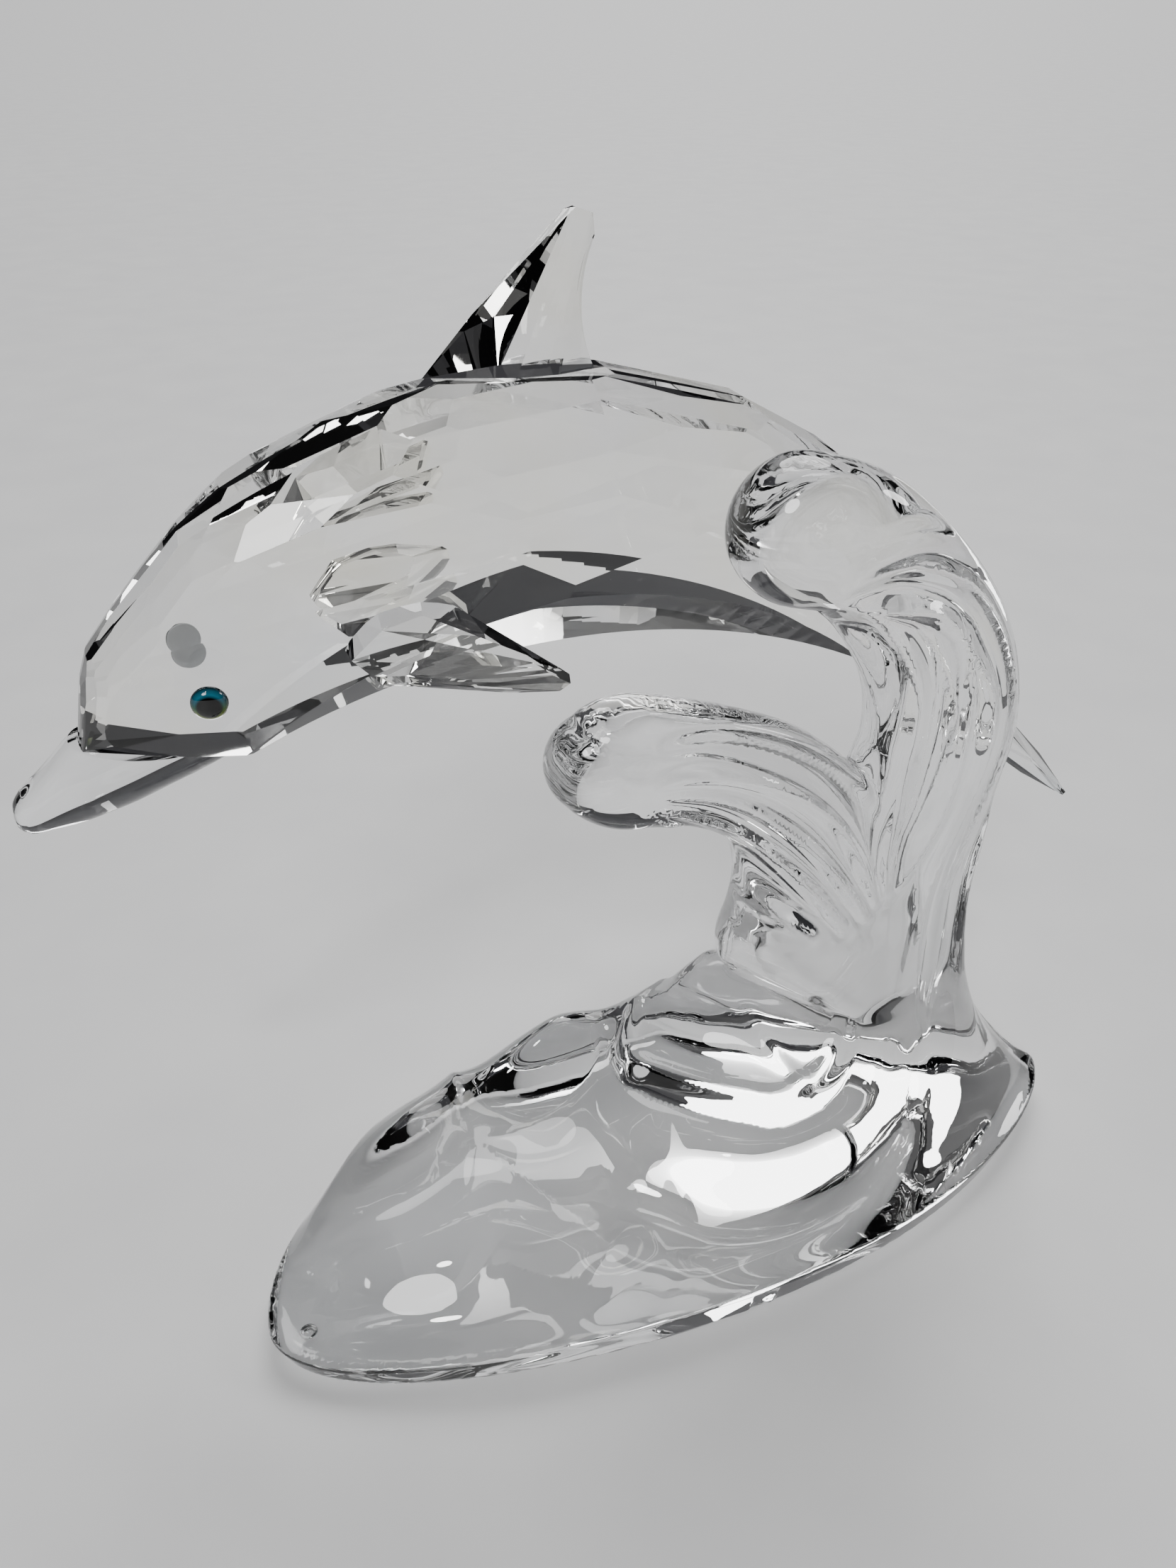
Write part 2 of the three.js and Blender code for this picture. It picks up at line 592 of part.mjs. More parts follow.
function buildFlipper(body) {
  const l = FLIPPER_LENGTH;
  const rootX = CROSS_X - 0.517 * BODY_LENGTH;
  const rootZ = CROSS_Z + 0.03 * BODY_LENGTH;
  const reachX = rootX - BELLY_X;
  const reachZ = rootZ - BELLY_Z;
  const rootY = BELLY_FLAT + (Math.hypot(reachX, reachZ) - BELLY_RADIUS) / belly.rise;
  const place = (p) => [rootX + p[0] * l, MID_Y - rootY - p[1] * l, rootZ + p[2] * l];
  const points = [
    [-0.20, -0.25, -0.02], [-0.14, -0.25, 0.10], [0.00, -0.22, 0.21], [0.24, -0.22, 0.24],
    [-0.05, -0.25, -0.17], [0.10, -0.22, -0.19],
    [-0.19, 0.06, 0.00], [-0.03, 0.12, 0.17], [0.18, 0.12, 0.22],
    [-0.06, 0.14, -0.12], [0.20, 0.22, 0.14], [0.28, 0.23, -0.13],
    [0.40, 0.32, 0.16], [0.54, 0.40, -0.15], [0.58, 0.42, 0.07],
    [0.76, 0.54, -0.11], [0.81, 0.57, -0.06], [0.80, 0.58, 0.0], [0.76, 0.56, 0.03],
  ].map(place);
  const lift = FLIPPER_SEAT.clone().multiplyScalar(1.4 * GLUE_GAP);
  const out = new THREE.Vector3(0, -GLUE_GAP, 0);
  return hull(points)
    .subtract(body.translate([lift.x, lift.y, lift.z]))
    .subtract(body.translate([out.x, out.y, out.z]));
}

// Tail fluke: two swept lobes with a ridge each and a notch between them
function buildFluke() {
  const half = FLUKE_SPAN / 2;
  const t = FLUKE_THICKNESS / 2;
  const start = tailReach + GLUE_GAP;
  const across = new THREE.Vector3(TAIL_SEAT.z * -1, 0, TAIL_SEAT.x);
  const level = new THREE.Vector3(tailEnd.x, 0, tailEnd.z).dot(across) - 0.35 * t;
  const place = ([back, side, up]) => {
    const p = TAIL_SEAT.clone().multiplyScalar(start + back * half).addScaledVector(across, level + up * t);
    return [p.x, MID_Y + side * half, p.z];
  };
  const lobePoints = (side) => [
    [0, 0, 1], [0, 0, -1],
    [0, side * 0.22, 0.75], [0, side * 0.22, -0.75],
    [0, side * -0.2, 0.6], [0, side * -0.2, -0.6],
    [0.1, side * 0.4, 0.1],
    [0.42, 0, 0.35], [0.42, 0, -0.35],
    [0.36, side * 0.34, 1.1], [0.36, side * 0.34, -1.0],
    [0.52, side * 0.8, 0.15],
    [0.74, side * 0.62, 0.8], [0.74, side * 0.62, -0.7],
    [0.98, side * 0.97, 0.12], [0.98, side * 0.97, -0.12],
    [1.0, side * 0.88, 0],
  ].map(place);
  return hull(lobePoints(-1)).add(hull(lobePoints(1)));
}

// Eyes: small domes set on facets of the head
const eyeAngle = toRadians(-2);

function buildEye() {
  const r = EYE_DIAMETER / 2;
  const n = facetNormal(along.eye, eyeAngle);
  const spot = onBody(along.eye, eyeAngle);
  spot.addScaledVector(n, reachAlong(n) - spot.dot(n) + GLUE_GAP);
  const profile = [new THREE.Vector2(0, 0)];
  for (let i = 0; i <= 6; i += 1) {
    const a = (i / 6) * Math.PI * 0.5;
    profile.push(new THREE.Vector2(i === 6 ? 0 : r * Math.cos(a), 0.12 * r + 0.62 * r * Math.sin(a)));
  }
  profile.splice(1, 0, new THREE.Vector2(r, 0));
  const g = new THREE.LatheGeometry(profile, 28);
  g.applyQuaternion(new THREE.Quaternion().setFromUnitVectors(new THREE.Vector3(0, 1, 0), n));
  g.translate(spot.x, spot.y, spot.z);
  return solidOf(g);
}

const acrossMiddle = (solid) => solid.mirror([0, 1, 0]).translate([0, 2 * MID_Y, 0]);

const body = buildBody();
const flipper = buildFlipper(body);
const eye = buildEye();
const group = new THREE.Group();
group.add(named('wave_base', buildWave(), clear));
group.add(named('dolphin_body', body, clear));
group.add(named('beak', buildBeak(), clear));
group.add(named('dorsal_fin', buildFin(), clear));
group.add(named('flipper_left', flipper, clear));
group.add(named('flipper_right', acrossMiddle(flipper), clear));
group.add(named('tail_fluke', buildFluke(), clear));
group.add(named('eye_left', eye, bead));
group.add(named('eye_right', acrossMiddle(eye), bead));

// The origin is the middle of the figurine's box, on the table
const box = new THREE.Box3().setFromObject(group);
const shift = new THREE.Vector3(
  -(box.min.x + box.max.x) / 2,
  -(box.min.y + box.max.y) / 2,
  -box.min.z,
);
for (const node of group.children) {
  node.geometry.translate(shift.x, shift.y, shift.z);
}

export default group;
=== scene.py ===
import math

import bmesh
import bpy
import numpy as np
from mathutils import Matrix, Vector


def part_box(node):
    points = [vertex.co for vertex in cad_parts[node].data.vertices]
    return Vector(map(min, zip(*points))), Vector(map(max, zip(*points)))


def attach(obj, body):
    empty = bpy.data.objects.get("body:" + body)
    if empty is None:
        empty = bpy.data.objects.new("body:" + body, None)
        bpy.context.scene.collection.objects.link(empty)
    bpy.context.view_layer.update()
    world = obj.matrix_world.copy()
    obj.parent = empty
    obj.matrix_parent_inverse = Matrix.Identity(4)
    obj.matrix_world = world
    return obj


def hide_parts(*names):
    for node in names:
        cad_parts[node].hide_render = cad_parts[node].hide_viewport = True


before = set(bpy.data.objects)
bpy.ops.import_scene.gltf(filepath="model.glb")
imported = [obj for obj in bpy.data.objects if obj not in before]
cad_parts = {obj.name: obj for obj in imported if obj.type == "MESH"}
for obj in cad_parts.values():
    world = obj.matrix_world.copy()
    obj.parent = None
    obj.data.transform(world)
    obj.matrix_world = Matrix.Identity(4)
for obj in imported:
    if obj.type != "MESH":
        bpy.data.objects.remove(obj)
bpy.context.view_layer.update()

MM = 0.001

# Sizes of the wave, in millimetres
BASE_LENGTH = 124.0
BASE_DEPTH = 51.0
RIM_HEIGHT = 4.6
WAVE_HEIGHT = 109.0
CURL_THICKNESS = 14.0
GLUE_GAP = 0.3
WAVE_Y = 0.12 * BASE_DEPTH
FLANK_Y = WAVE_Y + CURL_THICKNESS / 2

HALF = BASE_LENGTH / 2
MIDDLE_X = -0.005 * BASE_LENGTH
FRONT_Y = -0.4 * BASE_DEPTH
BACK_Y = 0.6 * BASE_DEPTH
LEFT_TIP_Y = -0.05 * BASE_DEPTH
RIGHT_TIP_Y = 0.06 * BASE_DEPTH

wave_low = np.array(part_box("wave_base")[0]) / MM
PLACE = wave_low - np.array([MIDDLE_X - HALF, FRONT_Y, 0.0])


def smooth(a, b, v):
    t = np.clip((v - a) / (b - a), 0, 1)
    return t * t * (3 - 2 * t)


def mix(a, b, t):
    return a + (b - a) * t


def soft_max(a, b, k):
    """The larger of two fields, with a rounded inner corner of about k."""
    h = np.maximum(k - np.abs(a - b), 0) / k
    return np.maximum(a, b) + h * h * k / 4


def soft_min(a, b, k):
    return -soft_max(-a, -b, k)


def curve(points, samples):
    """A centripetal Catmull-Rom curve through the points."""
    p = np.asarray(points, float)
    last = len(p) - 1
    p = np.vstack([2 * p[0] - p[1], p, 2 * p[-1] - p[-2]])
    s = np.linspace(0, last, samples)
    i = np.minimum(s.astype(int), last - 1)
    u = (s - i)[:, None]
    p0, p1, p2, p3 = p[i], p[i + 1], p[i + 2], p[i + 3]
    d0, d1, d2 = (
        np.sqrt(np.linalg.norm(b - a, axis=1))[:, None]
        for a, b in ((p0, p1), (p1, p2), (p2, p3))
    )
    m1 = d1 * ((p1 - p0) / d0 - (p2 - p0) / (d0 + d1) + (p2 - p1) / d1)
    m2 = d1 * ((p2 - p1) / d1 - (p3 - p1) / (d1 + d2) + (p3 - p2) / d2)
    rise = -3 * p1 + 3 * p2 - 2 * m1 - m2
    turn = 2 * p1 - 2 * p2 + m1 + m2
    return p1 + m1 * u + rise * u ** 2 + turn * u ** 3


# Wave curls: stations along, up and half breadth as shares of the wave's height,
# half thickness as a share of the curl's thickness
UPPER_CURL = [
    (0.300, 0.015, 0.150, 0.60),
    (0.290, 0.200, 0.128, 0.52),
    (0.278, 0.385, 0.114, 0.46),
    (0.290, 0.532, 0.112, 0.45),
    (0.311, 0.640, 0.103, 0.45),
    (0.290, 0.738, 0.092, 0.45),
    (0.232, 0.828, 0.082, 0.46),
    (0.155, 0.897, 0.078, 0.49),
    (0.098, 0.917, 0.078, 0.50),
]
LOWER_CURL = [
    (0.150, 0.015, 0.185, 0.60),
    (0.148, 0.200, 0.168, 0.52),
    (0.160, 0.350, 0.131, 0.46),
    (0.160, 0.490, 0.105, 0.44),
    (0.100, 0.598, 0.078, 0.42),
    (0.008, 0.654, 0.071, 0.43),
    (-0.085, 0.680, 0.076, 0.44),
    (-0.122, 0.687, 0.058, 0.38),
]
ROUNDNESS = 2.353

# Crests between the flutes on the near face, along and up in millimetres
UPPER_CRESTS = [
    [(14.6, 92.1), (18.4, 90.2), (21.4, 86.9), (24.1, 82.7), (26.0, 77.8), (26.4, 73.2), (26.0, 68.4),
     (25.4, 61.8), (25.0, 54.9), (25.6, 49.2)],
    [(3.0, 95.7), (12.4, 92.6), (19.3, 91.0), (26.4, 89.5), (30.7, 85.5), (32.7, 80.6), (33.3, 75.3),
     (33.2, 67.7), (32.0, 60.0), (29.8, 54.7), (27.2, 50.1)],
    [(30.7, 85.5), (34.0, 81.2), (36.6, 76.5), (37.6, 71.5), (37.0, 65.4), (35.1, 58.0),
     (32.9, 51.0), (31.8, 44.4), (32.0, 36.0), (33.0, 27.0), (34.0, 21.0)],
    [(6.7, 94.6), (12.2, 94.5), (16.6, 96.0), (21.3, 96.4), (26.4, 94.8), (32.1, 91.4), (37.4, 84.4),
     (40.4, 77.4), (41.4, 69.7), (39.8, 62.2), (37.4, 55.0), (35.6, 48.0), (35.6, 40.7), (35.5, 32.5),
     (35.0, 26.2), (34.6, 21.0)],
]
LOWER_CRESTS = [
    [(-17.1, 78.0), (-13.9, 76.3), (-11.0, 73.1), (-8.4, 74.0), (-5.3, 74.0), (-1.0, 73.2), (2.6, 72.1),
     (7.5, 69.9), (12.0, 67.0), (16.3, 63.0), (19.5, 58.3), (22.0, 53.4), (24.4, 47.5)],
    [(-11.0, 73.1), (-7.6, 72.4), (-3.9, 71.4), (0.3, 69.9), (4.4, 67.5), (8.2, 64.3), (12.8, 59.8),
     (17.4, 54.2), (20.7, 49.6), (23.4, 45.5)],
    [(-11.0, 73.1), (-7.9, 70.4), (-2.4, 67.2), (3.2, 63.4), (7.8, 59.4), (12.7, 54.4), (16.6, 49.5),
     (20.4, 44.0)],
    [(-11.0, 73.1), (-8.4, 69.0), (-4.3, 65.2), (-0.6, 61.4), (2.2, 57.4), (5.8, 53.4), (10.0, 49.0),
     (14.5, 44.5)],
]

# Flutes: depth as a share of the half thickness, the spacing at which they are full, the far side's
# share of that depth, how round the crests are, and how far from a crest a flute ends
FLUTE_DEPTH = 0.3
FULL_PITCH = 5.0
BACK_SHARE = 0.4
CREST_ROUND = 0.08
CREST_LOW, CREST_SPAN = 0.283, 0.756
FLUTE_FADE = (3.6, 6.0)

# Points along a curl and along a crest, and how widely the two curls run together
CURL_SAMPLES = 240
CREST_SAMPLES = 60
CURL_SEAM = 9.0


def lobe_square(stations, x, z):
    """Signed square of the lobe's half thickness over the plane, and how far along it is."""
    path = curve([s[:2] for s in stations], CURL_SAMPLES) * WAVE_HEIGHT
    girth = curve([s[2:] for s in stations], CURL_SAMPLES)
    breadth = girth[:, 0] * WAVE_HEIGHT
    thick = girth[:, 1] * CURL_THICKNESS
    nearest = np.full(x.shape, np.inf)
    at = np.zeros(x.shape, int)
    for k in range(CURL_SAMPLES):
        away = ((x - path[k, 0]) ** 2 + (z - path[k, 1]) ** 2) / breadth[k] ** 2
        closer = away < nearest
        nearest = np.where(closer, away, nearest)
        at = np.where(closer, k, at)
    at = np.clip(at, 1, CURL_SAMPLES - 2)

    def share(k):
        return ((x - path[k, 0]) ** 2 + (z - path[k, 1]) ** 2) / breadth[k] ** 2

    before, here, after = share(at - 1), share(at), share(at + 1)
    bend = np.maximum(before - 2 * here + after, 1e-9)
    shift = np.clip(0.5 * (before - after) / bend, -1, 1)
    squared = np.clip(here + 0.5 * (after - before) * shift + 0.5 * bend * shift ** 2, 0, None)
    t = at + shift
    half = np.interp(t, np.arange(CURL_SAMPLES), thick)
    edge = 1 - squared ** (ROUNDNESS / 2)
    level = np.sign(edge) * np.abs(edge) ** (2 / ROUNDNESS)
    return half ** 2 * np.clip(level, -1.5, 1), t / (CURL_SAMPLES - 1)


def crest_distances(crests, x, z):
    """Distance to the nearest crest line and to the next one."""
    first = np.full(x.shape, 1e3)
    second = np.full(x.shape, 1e3)
    for crest in crests:
        line = curve(crest, CREST_SAMPLES)
        near = np.full(x.shape, 1e6)
        for (ax, az), (bx, bz) in zip(line[:-1], line[1:]):
            dx, dz = bx - ax, bz - az
            t = np.clip(((x - ax) * dx + (z - az) * dz) / (dx * dx + dz * dz), 0, 1)
            near = np.minimum(near, (x - ax - t * dx) ** 2 + (z - az - t * dz) ** 2)
        near = np.sqrt(near)
        second = np.minimum(second, np.maximum(first, near))
        first = np.minimum(first, near)
    return first, second


def flute_share(crests, x, z):
    """0 on a crest and 1 in the bottom of a flute, shallower where crests run together."""
    first, second = crest_distances(crests, x, z)
    pitch = first + second
    across = np.clip(2 * first / pitch, 0, 1)
    dip = (np.sqrt(np.sin(across * math.pi / 2) ** 2 + CREST_ROUND) - CREST_LOW) / CREST_SPAN
    wide = np.clip(pitch / FULL_PITCH, 0, 1.15)
    far = 1 - smooth(*FLUTE_FADE, first)
    return dip * wide * far


def wave_square(depth):
    """Makes the signed square of the wave's half thickness, with flutes of that depth."""

    def square(x, z):
        upper, along_upper = lobe_square(UPPER_CURL, x, z)
        lower, along_lower = lobe_square(LOWER_CURL, x, z)
        # flutes fade out down the trunk, lower at its right edge, and before the curls' smooth ends
        upper_fade = smooth(44, 56, z + 9 * np.maximum(0, x - 30.5))
        upper_fade = upper_fade * (1 - smooth(0.78, 0.93, along_upper))
        lower_fade = smooth(41, 50, z) * (1 - smooth(0.74, 0.88, along_lower))
        upper_dip = depth * upper_fade * flute_share(UPPER_CRESTS, x, z)
        lower_dip = depth * lower_fade * flute_share(LOWER_CRESTS, x, z)
        upper = np.where(upper > 0, upper * (1 - upper_dip) ** 2, upper)
        lower = np.where(lower > 0, lower * (1 - lower_dip) ** 2, lower)
        return soft_max(upper, lower, CURL_SEAM)

    return square


# Base: crest lines on its top, along, across and up in millimetres. Between them and the rim the
# surface runs on like a stretched skin. A round line has no crease; its number is its half breadth.
CREST_LINES = [
    (0.0, [(-52.6, 8.7, 7.4), (-47.3, 6.5, 9.0), (-41.4, 4.9, 11.0), (-35.6, 6.0, 12.5),
           (-29.7, 9.6, 13.4)]),
    (0.0, [(-29.7, 9.6, 13.4), (-30.9, 13.9, 13.6), (-30.1, 21.0, 11.8), (-30.0, 26.0, 6.0)]),
    (0.0, [(-29.7, 9.6, 13.4), (-25.9, 3.8, 11.8), (-22.6, -0.6, 10.0), (-19.3, -4.9, 8.2),
           (-16.6, -8.5, 6.8)]),
    (0.0, [(-29.7, 9.6, 13.4), (-22.0, 10.4, 12.0), (-14.4, 13.1, 12.4), (-9.7, 16.2, 13.4),
           (-7.5, 20.1, 15.0)]),
    (0.0, [(32.0, 1.0, 25.6), (32.0, -1.5, 23.5), (31.8, -3.1, 19.0), (30.0, -6.7, 14.5),
           (25.8, -10.9, 11.0), (19.4, -14.8, 8.5), (10.3, -16.4, 7.0), (0.9, -15.9, 6.2),
           (-4.5, -14.1, 5.8)]),
    (0.0, [(40.3, 6.1, 36.0), (44.0, 5.6, 27.8), (48.4, 5.1, 19.0), (53.0, 4.6, 12.5), (57.7, 3.8, 7.2),
           (60.5, 3.3, 4.9)]),
    (2.5, [(-8.2, 22.0, 15.5), (-8.2, 15.2, 15.8), (-5.0, 8.4, 15.8), (-0.6, 2.6, 15.6), (4.6, -2.4, 15.5),
           (9.6, -4.8, 15.4), (15.4, -5.4, 15.8), (21.0, -4.6, 16.6), (26.0, -3.2, 18.5),
           (28.8, -1.2, 21.6)]),
]
PETAL_X = MIDDLE_X + 0.21 * HALF
PETAL_Y = 0.26 * BASE_DEPTH
LIP_FOOT = 1.13
LIP_BACK = 1.7

# The rim is thinner at the left tip
LEFT_RIM_SHARE = 0.75

# How widely a line's heights are averaged: a share of the squared distance, and the least
AVERAGE_SHARE = 0.18
AVERAGE_LEAST = 0.02


def rim_height(u):
    return RIM_HEIGHT * mix(LEFT_RIM_SHARE, 1, smooth(-1, -0.4, u))


def line_distance(line, x, y):
    """Distance in plan to a polyline, and its height there, averaged wider further away."""
    spots = []
    for (ax, ay, az), (bx, by, bz) in zip(line[:-1], line[1:]):
        dx, dy = bx - ax, by - ay
        t = np.clip(((x - ax) * dx + (y - ay) * dy) / (dx * dx + dy * dy), 0, 1)
        spots.append(((x - ax - dx * t) ** 2 + (y - ay - dy * t) ** 2, mix(az, bz, t)))
    near = np.min([away for away, _ in spots], axis=0)
    total = np.zeros(x.shape)
    weight = np.zeros(x.shape)
    for away, height in spots:
        w = np.exp((near - away) / (AVERAGE_SHARE * near + AVERAGE_LEAST))
        total += w * height
        weight += w
    return np.sqrt(near), total / weight


def bow_power(u, front):
    """The rim's quarters: round at the left end, more pointed at the right one."""
    return np.where(u < 0, 0.5, np.where(front, 0.65, 0.85))


def rim_line():
    turn = np.linspace(0, 2 * math.pi, RIM_SAMPLES)
    u = np.cos(turn)
    tip = np.where(u < 0, LEFT_TIP_Y, RIGHT_TIP_Y)
    front = np.sin(turn) < 0
    side = np.where(front, FRONT_Y, BACK_Y)
    y = tip + (side - tip) * np.abs(np.sin(turn)) ** (2 * bow_power(u, front))
    return np.stack([MIDDLE_X + u * HALF, y, rim_height(u)], 1)


# How far a crest line pulls on the skin, and how strongly the rim does
SKIN_REACH = 7.0
RIM_PULL = 0.8
RIM_SAMPLES = 121
LINE_SAMPLES = 90


def skin_height(x, y):
    """The base's top away from the petal: pulled to each crest line by nearness."""
    total = np.zeros(x.shape)
    weight = np.zeros(x.shape)
    lines = [(0.0, rim_line(), RIM_PULL)]
    lines += [(round_by, curve(points, LINE_SAMPLES), 1.0) for round_by, points in CREST_LINES]
    for round_by, line, pull in lines:
        away, height = line_distance(line, x, y)
        soft = np.sqrt(away ** 2 + round_by ** 2 + 0.01)
        w = pull / (soft * (1 + (away / SKIN_REACH) ** 2))
        total += w * height
        weight += w
    return total / weight


def petal_share(x, y):
    dx = (x - PETAL_X) / (np.where(x < PETAL_X, 0.29, 0.25) * HALF)
    dy = (y - PETAL_Y) / (np.where(y < PETAL_Y, 0.305, 0.2) * BASE_DEPTH)
    power = 2.2 - 0.8 * smooth(-0.1, 0.3, -dx) * smooth(-0.1, 0.3, -dy)
    return (np.abs(dx) ** power + np.abs(dy) ** power) ** (1 / power)


# Height of the band where the petal runs into the trunk, along the band
BAND = [(-22, 20.5), (-15.5, 21.3), (-9.0, 24.4), (-4.8, 29.6), (-1.6, 33.2), (3.0, 33.0), (12.0, 28.4),
        (19.0, 24.6), (28.0, 22.5), (40.0, 22.0)]
BAND_TURN = (0.559, 0.829)
BAND_REACH = 15.0
BAND_SAMPLES = 120

# Petal: height at its lip and far behind, run of the scoop, then its rolled lip, fold and peak
DISH_LEVEL = 18.4
DISH_BACK = 13.0
SCOOP_RUN = 3.6
LIP_RISE, LIP_AT, LIP_WIDTH = 0.5, 0.95, 0.06
FOLD_TURN, FOLD_REACH, FOLD_RISE, FOLD_WIDTH = (0.893, 0.451), 13.0, 0.6, 1.2
PEAK_AT, PEAK_RISE, PEAK_SPREAD = (-4.6, 17.4), 1.6, 12.0


def petal_dish(x, y):
    """The petal's top: low and level at its lip, rising in a scoop to the trunk's foot."""
    across = BAND_TURN[0] * x + BAND_TURN[1] * y - BAND_REACH
    along = BAND_TURN[1] * x - BAND_TURN[0] * y
    band = np.interp(along, *curve(BAND, BAND_SAMPLES).T)
    rise = np.exp(np.minimum(0, across) / SCOOP_RUN)
    fall = smooth(1.0, 16.0, across)
    lip = LIP_RISE * np.exp(-((petal_share(x, y) - LIP_AT) / LIP_WIDTH) ** 2)
    fold_away = (FOLD_TURN[0] * x + FOLD_TURN[1] * y - FOLD_REACH) / FOLD_WIDTH
    fold = FOLD_RISE * np.exp(-fold_away ** 2)
    peak = PEAK_RISE * np.exp(-((x - PEAK_AT[0]) ** 2 + (y - PEAK_AT[1]) ** 2) / PEAK_SPREAD)
    return mix(DISH_LEVEL + (band - DISH_LEVEL) * rise, DISH_BACK, fall) + lip + fold + peak


# Rounded humps behind the crests: middle, half lengths, turn and rise
HUMPS = [
    (-42.5, 17.5, 11.0, 6.5, 0.41, 7.0),
    (-17.5, 22.0, 11.5, 6.2, 0.02, 9.0),
]


def hump_rise(x, y):
    total = np.zeros(x.shape)
    for across, along, p_size, q_size, turn, rise in HUMPS:
        dx, dy = x - across, y - along
        p = (dx * math.cos(turn) + dy * math.sin(turn)) / p_size
        q = (dy * math.cos(turn) - dx * math.sin(turn)) / q_size
        total += rise * np.exp(-p * p - q * q)
    return total * (1 - smooth(0.93, 1.0, leaf_share(x, y)))


def base_height(x, y):
    u = np.clip((x - MIDDLE_X) / HALF, -1, 1)
    skin = soft_max(skin_height(x, y), rim_height(u), 0.4) + hump_rise(x, y)
    foot = mix(LIP_FOOT, LIP_BACK, smooth(17.3, 22.4, y))
    step = smooth(foot, 0.99, petal_share(x, y))
    return mix(skin, petal_dish(x, y), step)


def leaf_share(x, y):
    """0 in the middle of the base and 1 on its rim."""
    u = (x - MIDDLE_X) / HALF
    tip = np.where(u < 0, LEFT_TIP_Y, RIGHT_TIP_Y)
    bow = (y - tip) / (np.where(y < tip, FRONT_Y, BACK_Y) - tip)
    return np.sqrt(u * u + np.abs(bow) ** (1 / bow_power(u, y < tip)))


class Sheet:
    """Values on a regular plane grid, read between its points with a smooth cubic."""

    def __init__(self, low, high, step, make):
        self.low = np.array(low, float)
        self.step = step
        counts = np.ceil((np.array(high) - self.low) / step).astype(int) + 1
        a = self.low[0] + step * np.arange(counts[0])
        b = self.low[1] + step * np.arange(counts[1])
        self.values = make(*np.meshgrid(a, b, indexing="ij"))

    def __call__(self, a, b):
        u = (a - self.low[0]) / self.step
        v = (b - self.low[1]) / self.step
        iu = np.clip(np.floor(u).astype(int), 1, self.values.shape[0] - 3)
        iv = np.clip(np.floor(v).astype(int), 1, self.values.shape[1] - 3)
        fu, fv = u - iu, v - iv

        def weights(f):
            return (
                ((-0.5 * f + 1.0) * f - 0.5) * f,
                (1.5 * f - 2.5) * f * f + 1.0,
                ((-1.5 * f + 2.0) * f + 0.5) * f,
                (0.5 * f - 0.5) * f * f,
            )

        total = 0.0
        for i, wu in enumerate(weights(fu)):
            for j, wv in enumerate(weights(fv)):
                total = total + wu * wv * self.values[iu + i - 1, iv + j - 1]
        return total


GRID = 0.62
MAP_STEP = 0.31
MAP_MARGIN = 2
LOW = np.array([-63.4, -21.2, -0.9])
HIGH = np.array([62.2, 31.4, 109.8])


def map_over(axes, make):
    return Sheet(LOW[axes] - MAP_MARGIN, HIGH[axes] + MAP_MARGIN, MAP_STEP, make)


near_map = map_over([0, 2], wave_square(FLUTE_DEPTH))
far_map = map_over([0, 2], wave_square(FLUTE_DEPTH * BACK_SHARE))
height_map = map_over([0, 1], base_height)
share_map = map_over([0, 1], leaf_share)


# The near side of the trunk's foot is cut back in a slant, so that the petal shows in front of it
FOOT_TURN = (0.575, 0.61, 0.545)
FOOT_REACH = 29.0

# A drop of glass left under the front rim
NUB = (2.0, -19.1, 1.5)
NUB_SIZE = 1.15

# Slopes that turn shares into rough millimetres, and how widely neighbouring surfaces run together
FOOT_SLOPE = 0.6
TOP_SLOPE = 0.7
WALL_SLOPE = 24.0
RIM_LEAN = 0.03
BACK_BLEND = 1.5
FOOT_SEAM = 2.5
FLANK_SEAM = 0.4
RIM_SEAM = 0.5
NUB_SEAM = 0.2
TRUNK_SEAM = 2.4
FLOOR_SEAM = 0.3


def wave_field(near, far, height, share, x, y, z):
    """Positive inside the glass, in rough millimetres."""
    square = mix(near, far, smooth(-BACK_BLEND, BACK_BLEND, y - WAVE_Y))
    curls = (square - (y - WAVE_Y) ** 2) / CURL_THICKNESS
    foot = FOOT_TURN[0] * x + FOOT_TURN[1] * y + FOOT_TURN[2] * z - FOOT_REACH
    curls = soft_min(curls, foot * FOOT_SLOPE, FOOT_SEAM)
    curls = soft_min(curls, FLANK_Y - GLUE_GAP - y, FLANK_SEAM)
    wall = (1.0 - share - RIM_LEAN * np.clip(1 - z / RIM_HEIGHT, 0, 1)) * WALL_SLOPE
    base = soft_min((height - z) * TOP_SLOPE, wall, RIM_SEAM)
    nub = NUB_SIZE - np.sqrt((x - NUB[0]) ** 2 + (y - NUB[1]) ** 2 + (z - NUB[2]) ** 2)
    base = soft_max(base, nub, NUB_SEAM)
    return soft_min(soft_max(curls, base, TRUNK_SEAM), z, FLOOR_SEAM)


def field_at(p):
    x, y, z = p.T
    return wave_field(near_map(x, z), far_map(x, z), height_map(x, y), share_map(x, y), x, y, z)


def gradient_at(p, step=0.05):
    columns = []
    for axis in range(3):
        d = np.zeros(3)
        d[axis] = step
        columns.append((field_at(p + d) - field_at(p - d)) / (2 * step))
    return np.stack(columns, 1)


